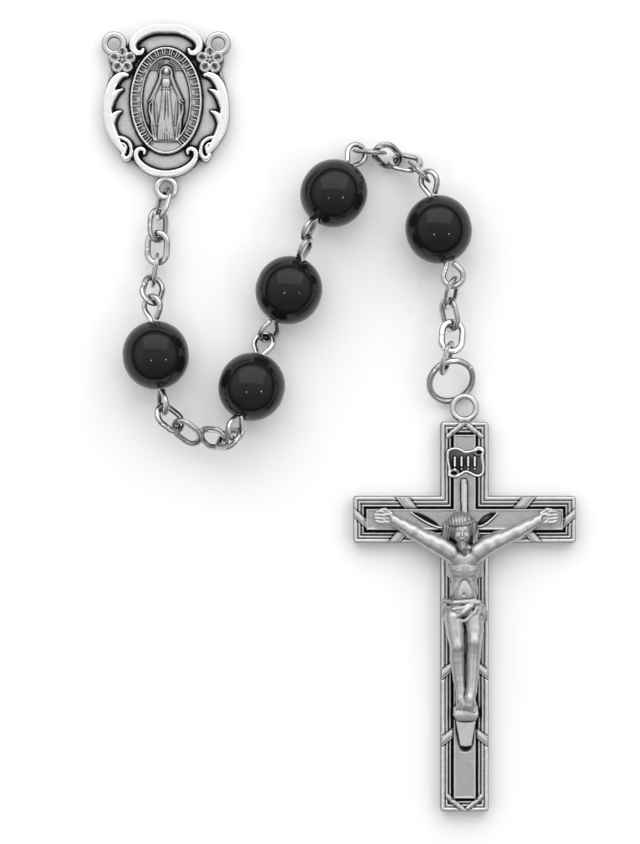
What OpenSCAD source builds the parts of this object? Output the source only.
// Rosary drop: centre medal, cable-chain links, five beads on eye-pins, jump ring and crucifix.
// Millimetres, +Z up. Origin: centre of the medal's flat back. +Y points from the crucifix to the
// medal's two upper eyelets, and the whole drop lies on the plane z = 0 in an S.

/* [Output] */
// which piece to draw

/* [Medal] */
// half width and half height of the oval plate
medal_rx = 7.7;
medal_ry = 9.2;
// sunk field, engraved ring and raised border, above the back
field_z = 1.25;
ring_z = 1.75;
border_z = 2.1;
// central oval
oval_rx = 4.36;
oval_ry = 6.5;
oval_band = 1.15;
rim_w = 0.22;
// eyelets: outer radius, bore radius, thickness and height of the middle plane
eyelet_r = 1.54;
eyelet_bore = 0.74;
eyelet_thick = 0.9;
eyelet_z = 1.15;
upper_eyelet_x = 6.3;
upper_eyelet_y = 6.85;
lower_eyelet_y = -10.58;
flower_x = 5.35;
flower_y = 4.85;

/* [Chain link] */
link_len = 4.4;
link_wide = 3.3;
// flattened wire: radial width and thickness
wire_w = 0.8;
wire_t = 0.55;

/* [Bead and eye-pin] */
bead_d = 8.0;
// a bead is two half-spheres with a short band between them
bead_band = 0.3;
pin_r = 0.35;
bore_clear = 0.07;
// loop centre from the bead's end, its sideways set and its centre-line radius
loop_x = 1.75;
loop_y = 0.35;
loop_r = 1.2;

/* [Jump ring] */
ring_wire = 0.4;
ring_r = 2.75;
ring_slit = 2;

/* [Cross] */
bar_w = 5.8;
arm_w = 5.66;
arm_len = 26.9;
bar_top = 11.8;
bar_bottom = -35.3;
corner_r = 0.35;
base_z = 1.35;
panel_z = 2.0;
panel_w = 2.5;
rim_top = 2.0;
groove_w = 0.28;
reed_w = 0.32;
cross_eyelet_y = 13.5;
cross_eyelet_r = 1.42;
cross_eyelet_wire = 0.36;

/* [Running fit] */
// air left between two wires where they hang in each other
hang = 0.06;

/* [Hidden] */
$fn = 96;

LINK = 0;
PIN = 1;
RING = 2;
CROSS = 3;

bead_len = bead_d + bead_band;
link_reach = (link_len - wire_w) / 2;
link_bend = (link_wide - wire_w) / 2;
pin_reach = bead_len / 2 + loop_x + loop_r;

// ---------- how the drop lies ----------

// One row a piece, from the medal to the crucifix: name, kind, then the direction its long axis
// points (yaw), its climb (pitch), and its turn about that axis at the near end and the far end.
LAY = [
    ["link_1", LINK, -104, 19, 61, 61],
    ["link_2", LINK, -92, 2, -45, -45],
    ["link_3", LINK, -92, 1, 19, 19],
    ["link_4", LINK, -98, 3, 84, 84],
    ["link_5", LINK, -105, 36, -25, -25],
    ["pin_1", PIN, -83, 2, 34, 67],
    ["link_6", LINK, -38, -21, -37, -37],
    ["link_7", LINK, -37, -3, 40, 40],
    ["link_8", LINK, -2, 36, 31, 31],
    ["link_9", LINK, -7, 57, -30, -30],
    ["pin_2", PIN, 72, -20, 45, -24],
    ["pin_3", PIN, 67, 23, 42, 71],
    ["pin_4", PIN, 57, -21, 70, 18],
    ["link_10", LINK, -7, 32, -83, -83],
    ["link_11", LINK, -45, -36, 22, 22],
    ["link_12", LINK, -13, 18, -44, -44],
    ["link_13", LINK, -47, 61, 92, 92],
    ["pin_5", PIN, -76, -1, 39, 6],
    ["link_14", LINK, -99, -27, -63, -63],
    ["link_15", LINK, -77, 7, 52, 52],
    ["link_16", LINK, -95, 12, -10, -10],
    ["link_17", LINK, -108, 5, -73, -73],
    ["jump_ring", RING, -46, -32, 8, 8],
    ["cross", CROSS, -90, 0, 0, 0],
];

function turn_z(a) = [[cos(a), -sin(a), 0], [sin(a), cos(a), 0], [0, 0, 1]];
function turn_y(a) = [[cos(a), 0, sin(a)], [0, 1, 0], [-sin(a), 0, cos(a)]];
function turn_x(a) = [[1, 0, 0], [0, cos(a), -sin(a)], [0, sin(a), cos(a)]];
function attitude(yaw, pitch, roll) = turn_z(yaw) * turn_y(-pitch) * turn_x(roll);
function column(m, i) = [m[0][i], m[1][i], m[2][i]];
function unit(v) = v / norm(v);

// Half the centre-line length, wire radius and sideways set of the loop, by kind.
function reach(kind) = [link_reach, pin_reach, ring_r, cross_eyelet_r][kind];
function gauge(kind) = [wire_w / 2, pin_r, ring_wire, cross_eyelet_wire][kind];
function set_off(kind) = kind == PIN ? loop_y : 0;

// A hook is where the next piece hangs: point, wire direction, outward direction, wire radius.
START = [[0, lower_eyelet_y - (eyelet_r + eyelet_bore) / 2, eyelet_z], [1, 0, 0], [0, -1, 0],
    (eyelet_r - eyelet_bore) / 2];

// A laid piece is [name, kind, attitude, centre, hook, roll at the near end, roll at the far end].
function lay_piece(hook, row) =
    let (kind = row[1],
        near = attitude(row[2], row[3], row[4]),
        far = attitude(row[2], row[3], row[5]),
        along = column(near, 0),
        across = unit(cross(hook[1], column(near, 1))),
        away = across * (hook[2] + along) > 0 ? -across : across,
        start = hook[0] + (hook[3] + gauge(kind) + hang) * away,
        centre = start + reach(kind) * along - set_off(kind) * column(near, 1),
        end = centre + reach(kind) * along + set_off(kind) * column(far, 1))
    [row[0], kind, near, centre, [end, column(far, 1), along, gauge(kind)], row[4], row[5]];

function lay_chain(hook, i = 0) =
    i == len(LAY) ? [] :
    let (piece = lay_piece(hook, LAY[i]))
    concat([piece], lay_chain(piece[4], i + 1));

LAID = lay_chain(START);
cross_at = LAID[len(LAID) - 1][3];

function find(name) = [for (p = LAID) if (p[0] == name) p][0];

module place(piece) {
    m = piece[2];
    c = piece[3];
    multmatrix([[m[0][0], m[0][1], m[0][2], c[0]],
        [m[1][0], m[1][1], m[1][2], c[1]],
        [m[2][0], m[2][1], m[2][2], c[2]]])
        children();
}

// ---------- small shapes ----------

// A tapering round limb through joints of [x, y, z, radius]; each joint is a ball a little proud
// of the bars that meet in it.
module limb(joints) {
    for (j = joints)
        translate([j[0], j[1], j[2]]) sphere(j[3] * 1.04);
    for (i = [1 : len(joints) - 1]) {
        p = joints[i - 1];
        q = joints[i];
        d = [q[0] - p[0], q[1] - p[1], q[2] - p[2]];
        translate([p[0], p[1], p[2]])
            rotate([0, acos(d[2] / norm(d)), atan2(d[1], d[0])])
                cylinder(h = norm(d), r1 = p[3], r2 = q[3]);
    }
}

module bone(p, q, r1, r2) {
    limb([[p[0], p[1], p[2], r1], [q[0], q[1], q[2], r2]]);
}

module rounded_bar(w, h, r) {
    square([w - 2 * r, h], center = true);
    square([w, h - 2 * r], center = true);
    for (x = [-1, 1], y = [-1, 1])
        translate([x * (w / 2 - r), y * (h / 2 - r)]) circle(r);
}

module oval(rx, ry, n = 72) {
    polygon([for (i = [0 : n - 1]) [rx * cos(360 * i / n), ry * sin(360 * i / n)]]);
}

module mirrored() {
    children();
    mirror([1, 0, 0]) children();
}

// The part of a flat ring between two angles.
module arc_band(r, w, a1, a2, h) {
    rotate([0, 0, a1])
        rotate_extrude(angle = a2 - a1)
            translate([r - w / 2, 0]) square([w, h]);
}

// ---------- centre medal ----------

// An upper eyelet: a flat disc whose bore has broken edges.
module eyelet(x, y) {
    translate([x, y, eyelet_z - eyelet_thick / 2]) cylinder(h = eyelet_thick, r = eyelet_r);
}

module eyelet_hole(x, y) {
    translate([x, y, -1]) cylinder(h = border_z + 2, r = eyelet_bore);
    for (s = [0, 1])
        translate([x, y, eyelet_z])
            mirror([0, 0, s])
                translate([0, 0, eyelet_thick / 2 - 0.2])
                    cylinder(h = 0.4, r1 = eyelet_bore, r2 = eyelet_bore + 0.4);
}

// The lower eyelet is round in section all the way, so the first link swings freely in it.
module lower_eyelet() {
    translate([0, lower_eyelet_y, eyelet_z])
        rotate_extrude()
            translate([(eyelet_r + eyelet_bore) / 2, 0]) circle((eyelet_r - eyelet_bore) / 2);
    translate([-0.8, lower_eyelet_y + 1.15, eyelet_z - 0.35]) cube([1.6, 1.0, 0.7]);
}

module flower(x, y) {
    translate([x, y, 0]) {
        cylinder(h = field_z, r = 1.45);
        for (i = [0 : 4])
            translate([0.82 * sin(72 * i), 0.82 * cos(72 * i), field_z + 0.1]) sphere(0.62);
        translate([0, 0, field_z + 0.35]) sphere(0.4);
    }
}

// A leaf tongue: where two circles overlap, its point turned to angle a.
module leaf(x, y, a, length) {
    r = length * 0.85;
    translate([x, y, 0])
        rotate([0, 0, a])
            linear_extrude(border_z - 0.05)
                intersection() {
                    translate([0, r - length * 0.17]) circle(r);
                    translate([0, length * 0.17 - r]) circle(r);
                }
}

// A C-scroll with a small curl at each end.
module c_scroll(y, r, w, a1, a2) {
    translate([0, y, 0]) {
        arc_band(r, w, a1, a2, border_z);
        for (a = [a1, a2])
            translate([(r - 0.45) * cos(a), (r - 0.45) * sin(a), 0]) {
                cylinder(h = border_z - 0.25, r = 0.62);
                cylinder(h = border_z, r = 0.3);
            }
    }
}

module side_scroll() {
    intersection() {
        linear_extrude(border_z)
            difference() {
                oval(medal_rx, medal_ry);
                translate([0.15, 0.2]) oval(medal_rx - 1.15, medal_ry - 0.6);
            }
        translate([-9, -6.6, 0]) cube([6, 10, 4]);
    }
    leaf(-6.1, 1.7, 40, 2.6);
    leaf(-6.3, 0.1, 52, 2.8);
    leaf(-6.4, -1.9, 62, 2.8);
    translate([-4.7, -6.3, 0]) cylinder(h = border_z - 0.2, r = 1.0);
    translate([-4.4, -5.7, 0]) cylinder(h = border_z, r = 0.5);
}

// The robed figure of the medal, from heavy to fine: mantle, robe, veil, head, arms, belt.
module medal_figure() {
    z = field_z - 0.1;
    head_y = 3.45;
    mirrored() {
        bone([-0.65, 2.5, z], [-1.55, -3.9, z], 0.5, 0.62);
        bone([-0.5, 2.6, z + 0.3], [-1.75, 0.1, z + 0.35], 0.36, 0.26);
        translate([-2.0, -0.15, z + 0.4]) sphere(0.24);
        bone([-1.75, -0.1, z], [-1.85, -2.6, z], 0.42, 0.24);
    }
    bone([0, 1.4, z + 0.1], [-0.35, -4.4, z + 0.1], 0.7, 0.75);
    bone([0, 1.4, z + 0.1], [0.45, -4.4, z + 0.1], 0.7, 0.75);
    bone([0, head_y - 0.2, z], [0, 2.2, z + 0.1], 0.66, 0.7);
    translate([0, head_y, z + 0.55]) sphere(0.4);
    translate([-0.62, 1.3, z]) cube([1.24, 0.16, 0.95]);
    translate([-1.5, -5.2, 0]) cube([3.0, 0.3, ring_z]);
    translate([0, head_y, 0]) arc_band(0.95, 0.12, 0, 180, field_z + 0.2);
    for (a = [15 : 15 : 165])
        if (abs(a - 90) > 10)
            translate([0, head_y, 0])
                rotate([0, 0, a])
                    translate([1.15, -0.05, 0]) cube([a < 40 || a > 140 ? 1.4 : 0.9, 0.1, field_z + 0.12]);
}

module centre_medal() {
    color("#a9a9a6")
        difference() {
            union() {
                linear_extrude(field_z) oval(medal_rx, medal_ry);
                linear_extrude(ring_z)
                    difference() {
                        oval(oval_rx, oval_ry);
                        oval(oval_rx - oval_band, oval_ry - oval_band);
                    }
                for (step = [0, oval_band - rim_w])
                    linear_extrude(ring_z + 0.15)
                        difference() {
                            oval(oval_rx - step, oval_ry - step);
                            oval(oval_rx - step - rim_w, oval_ry - step - rim_w);
                        }
                mirrored() {
                    side_scroll();
                    flower(flower_x, flower_y);
                }
                c_scroll(4.5, 4.35, 1.1, 22, 158);
                c_scroll(-4.5, 4.3, 0.95, 204, 336);
                medal_figure();
                for (x = [-1, 1]) eyelet(x * upper_eyelet_x, upper_eyelet_y);
                lower_eyelet();
            }
            for (x = [-1, 1]) eyelet_hole(x * upper_eyelet_x, upper_eyelet_y);
        }
}

// ---------- chain, eye-pins, beads and jump ring ----------

module flat_wire() {
    square([wire_w - wire_t, wire_t], center = true);
    for (x = [-1, 1]) translate([x * (wire_w - wire_t) / 2, 0]) circle(wire_t / 2);
}

// An oval link in the XY plane, long axis X.
module link_shape() {
    straight = link_reach - link_bend;
    for (s = [0, 1])
        rotate([0, 0, 180 * s]) {
            translate([straight, 0, 0])
                rotate([0, 0, -90])
                    rotate_extrude(angle = 180) translate([link_bend, 0]) flat_wire();
            translate([-straight, link_bend, 0])
                rotate([90, 0, 90])
                    linear_extrude(2 * straight) flat_wire();
        }
}

// The bent eye at one end of a pin, in the XY plane: a leg from the bead, the round, and the
// wire's tip coming back beside the leg.
module eye() {
    x0 = bead_len / 2;
    near = [x0, 0];
    tip = [x0 + 0.35, 2 * loop_y + 0.12];
    centre = [x0 + loop_x, loop_y];
    a1 = tangent_angle(near, centre, 1);
    a2 = tangent_angle(tip, centre, -1);
    translate([centre[0], centre[1], 0])
        rotate([0, 0, a1])
            rotate_extrude(angle = turn_up(a2 - a1)) translate([loop_r, 0]) circle(pin_r);
    stick(near, on_round(centre, a1));
    stick(tip, on_round(centre, a2));
    // a ball a hair proud of the wire closes each bend
    for (p = [near, on_round(centre, a1), on_round(centre, a2)])
        translate([p[0], p[1], 0]) sphere(pin_r + 0.012);
}

function on_round(c, a) = c + loop_r * [cos(a), sin(a)];
function turn_up(a) = a < 0 ? a + 360 : a;
// Angle on the round where a straight leg from p meets it; side picks one of the two.
function tangent_angle(p, c, side) =
    let (d = p - c)
    atan2(d[1], d[0]) + side * acos(loop_r / norm(d));

module stick(p, q) {
    d = q - p;
    translate([p[0], p[1], 0])
        rotate([0, 90, atan2(d[1], d[0])])
            cylinder(h = norm(d), r = pin_r);
}

module pin_shape(twist) {
    translate([-bead_len / 2, 0, 0]) rotate([0, 90, 0]) cylinder(h = bead_len, r = pin_r);
    mirror([1, 0, 0]) eye();
    rotate([twist, 0, 0]) eye();
}

module bead_shape() {
    difference() {
        union() {
            for (s = [-1, 1]) translate([s * bead_band / 2, 0, 0]) sphere(bead_d / 2);
            translate([-bead_band / 2, 0, 0]) rotate([0, 90, 0]) cylinder(h = bead_band, r = bead_d / 2);
        }
        translate([-bead_len, 0, 0])
            rotate([0, 90, 0]) cylinder(h = 2 * bead_len, r = pin_r + bore_clear);
    }
}

module chain_link(i) {
    color("#c9c9c6") place(find(str("link_", i))) link_shape();
}

module eye_pin(i) {
    piece = find(str("pin_", i));
    color("#c9c9c6") place(piece) pin_shape(piece[6] - piece[5]);
}

module bead(i) {
    color("#151517") place(find(str("pin_", i))) bead_shape();
}

module jump_ring() {
    color("#c9c9c6")
        place(find("jump_ring"))
            rotate([0, 0, 90 + ring_slit / 2])
                rotate_extrude(angle = 360 - ring_slit) translate([ring_r, 0]) circle(ring_wire);
}

// ---------- crucifix ----------

// The crucifix is drawn about the crossing of its bars, its back on z = 0.
module crucifix_place() {
    translate([cross_at[0], cross_at[1] - cross_eyelet_y, 0]) children();
}

module cross_outline(inset) {
    r = max(corner_r - inset, 0.05);
    translate([0, (bar_top + bar_bottom) / 2])
        rounded_bar(bar_w - 2 * inset, bar_top - bar_bottom - 2 * inset, r);
    rounded_bar(arm_len - 2 * inset, arm_w - 2 * inset, r);
}

// A ribbon crossing the reeds on the slant.
module wrap(x, y, a) {
    translate([x, y, 0])
        rotate([0, 0, a])
            translate([-0.45, -1.1, base_z])
                cube([0.9, 2.2, rim_top - base_z + 0.12]);
}

module wraps() {
    reed_y = (arm_w + panel_w) / 4;
    reed_x = (bar_w + panel_w) / 4;
    mirrored() {
        for (x = [6.7, 7.8], s = [-1, 1]) wrap(x, s * reed_y, 35 * s);
        for (s = [-1, 1]) wrap(12.3, s * (reed_y - 0.3), 45 * s);
        for (y = [-17.7, -18.8, -25.8, -26.9]) wrap(reed_x, y, -55);
        for (y = [10.6, -34.1]) wrap(reed_x - 0.3, y, 45 * sign(y));
    }
}

module glory() {
    translate([-0.22, 1.5, base_z]) cube([0.44, 3.3, panel_z - base_z + 0.25]);
    mirrored()
        translate([0, 0, base_z])
            linear_extrude(panel_z - base_z + 0.2)
                polygon([[1.2, -0.4], [1.9, 0.7], [4.3, 1.25], [2.4, -0.9]]);
}

// The foot rest: a block and the tapered wedge below it.
module foot_rest() {
    translate([0, 0, base_z])
        linear_extrude(panel_z - base_z + 1.3)
            polygon([[-1.25, -23.4], [1.25, -23.4], [1.35, -24.6], [-1.35, -24.6]]);
    translate([0, 0, base_z])
        linear_extrude(panel_z - base_z + 0.7)
            polygon([[-1.2, -24.6], [1.2, -24.6], [0.55, -27.7], [-0.55, -27.7]]);
}

module cross() {
    z_eye = cross_at[2];
    color("#a4a4a1")
        crucifix_place() {
            linear_extrude(base_z) cross_outline(0);
            for (step = [0, reed_w + groove_w, 2 * (reed_w + groove_w)])
                linear_extrude(rim_top - step * 0.12)
                    difference() {
                        cross_outline(step);
                        cross_outline(step + reed_w);
                    }
            linear_extrude(panel_z) cross_outline((bar_w - panel_w) / 2);
            intersection() {
                wraps();
                linear_extrude(4)
                    difference() {
                        cross_outline(0.06);
                        cross_outline((bar_w - panel_w) / 2);
                    }
            }
            glory();
            foot_rest();
            translate([0, cross_eyelet_y, z_eye])
                rotate_extrude() translate([cross_eyelet_r, 0]) circle(cross_eyelet_wire);
            translate([-0.9, bar_top - 0.3, 0.5]) cube([1.8, 0.45, 1.2]);
        }
}

// Joints of the figure: x, y from the crossing, z above the panel.
module corpus_limbs() {
    z = panel_z;
    mirrored()
        limb([[-2.0, -3.4, z + 1.0, 0.85], [-5.8, -1.75, z + 0.75, 0.62], [-8.8, -0.15, z + 0.5, 0.42],
            [-10.2, 0.24, z + 0.35, 0.5]]);
    limb([[-0.95, -11.6, z + 0.9, 1.05], [-0.9, -15.0, z + 1.4, 0.82], [0.1, -22.7, z + 1.0, 0.5]]);
    limb([[0.95, -11.6, z + 0.9, 1.05], [0.8, -15.1, z + 1.4, 0.8], [0.5, -21.3, z + 1.45, 0.54],
        [0.3, -23.0, z + 1.7, 0.42]]);
}

module corpus_trunk() {
    z = panel_z;
    limb([[-1.15, -4.2, z + 0.9, 1.15], [-0.58, -8.8, z + 0.8, 1.03], [-0.8, -11.3, z + 0.85, 1.2]]);
    limb([[1.15, -4.2, z + 0.9, 1.15], [0.58, -8.8, z + 0.8, 1.03], [0.8, -11.3, z + 0.85, 1.2]]);
    // loin cloth: its rolled upper edge, the hem and the hanging end
    limb([[-1.9, -10.3, z + 1.0, 0.75], [1.7, -9.9, z + 1.15, 0.68]]);
    limb([[-1.75, -11.7, z + 0.95, 0.72], [1.6, -11.5, z + 1.1, 0.66]]);
    limb([[2.15, -10.35, z + 0.85, 0.55], [2.35, -12.0, z + 0.7, 0.42]]);
}

module corpus_head() {
    z = panel_z;
    translate([-0.5, -0.85, z + 1.65]) sphere(1.5);
    limb([[-0.45, -1.7, z + 1.85, 0.98], [-0.15, -3.4, z + 1.7, 0.55]]);
    limb([[-1.75, -0.9, z + 1.15, 0.8], [-2.05, -3.3, z + 0.95, 0.6]]);
    limb([[0.75, -0.8, z + 1.15, 0.75], [1.0, -3.0, z + 0.9, 0.62]]);
    translate([-0.5, -0.35, z + 1.7])
        rotate([-65, 0, 6])
            rotate_extrude() translate([1.48, 0]) circle(0.26);
}

module corpus() {
    color("#b2b2af")
        crucifix_place()
            difference() {
                union() {
                    corpus_limbs();
                    corpus_trunk();
                    corpus_head();
                }
                translate([-15, -40, -8]) cube([30, 55, 8 + panel_z + 0.26]);
                foot_rest();
            }
}

// A parchment with curled corners and a generic bead-and-bar ornament.
module title_scroll() {
    z = panel_z;
    color("#a4a4a1")
        crucifix_place() {
            translate([-2.05, 5.35, z]) cube([4.1, 3.0, 0.4]);
            for (c = [[-1.6, 5.3], [1.7, 8.4]])
                translate([c[0], c[1], z]) cylinder(h = 0.55, r = 0.75);
            for (c = [[-1.9, 8.2], [1.9, 5.5]])
                translate([c[0], c[1], z]) cylinder(h = 0.5, r = 0.5);
            for (x = [-1.1, 0, 1.1]) translate([x, 6.85, z + 0.4]) sphere(0.34);
            for (x = [-0.55, 0.55]) translate([x - 0.09, 6.2, z]) cube([0.18, 1.3, 0.6]);
        }
}

// ---------- nodes ----------

centre_medal();
chain_link(1);  // link_1
chain_link(2);  // link_2
chain_link(3);  // link_3
chain_link(4);  // link_4
chain_link(5);  // link_5
chain_link(6);  // link_6
chain_link(7);  // link_7
chain_link(8);  // link_8
chain_link(9);  // link_9
chain_link(10);  // link_10
chain_link(11);  // link_11
chain_link(12);  // link_12
chain_link(13);  // link_13
chain_link(14);  // link_14
chain_link(15);  // link_15
chain_link(16);  // link_16
chain_link(17);  // link_17
eye_pin(1);  // pin_1
eye_pin(2);  // pin_2
eye_pin(3);  // pin_3
eye_pin(4);  // pin_4
eye_pin(5);  // pin_5
bead(1);  // bead_1
bead(2);  // bead_2
bead(3);  // bead_3
bead(4);  // bead_4
bead(5);  // bead_5
jump_ring();
cross();
corpus();
title_scroll();
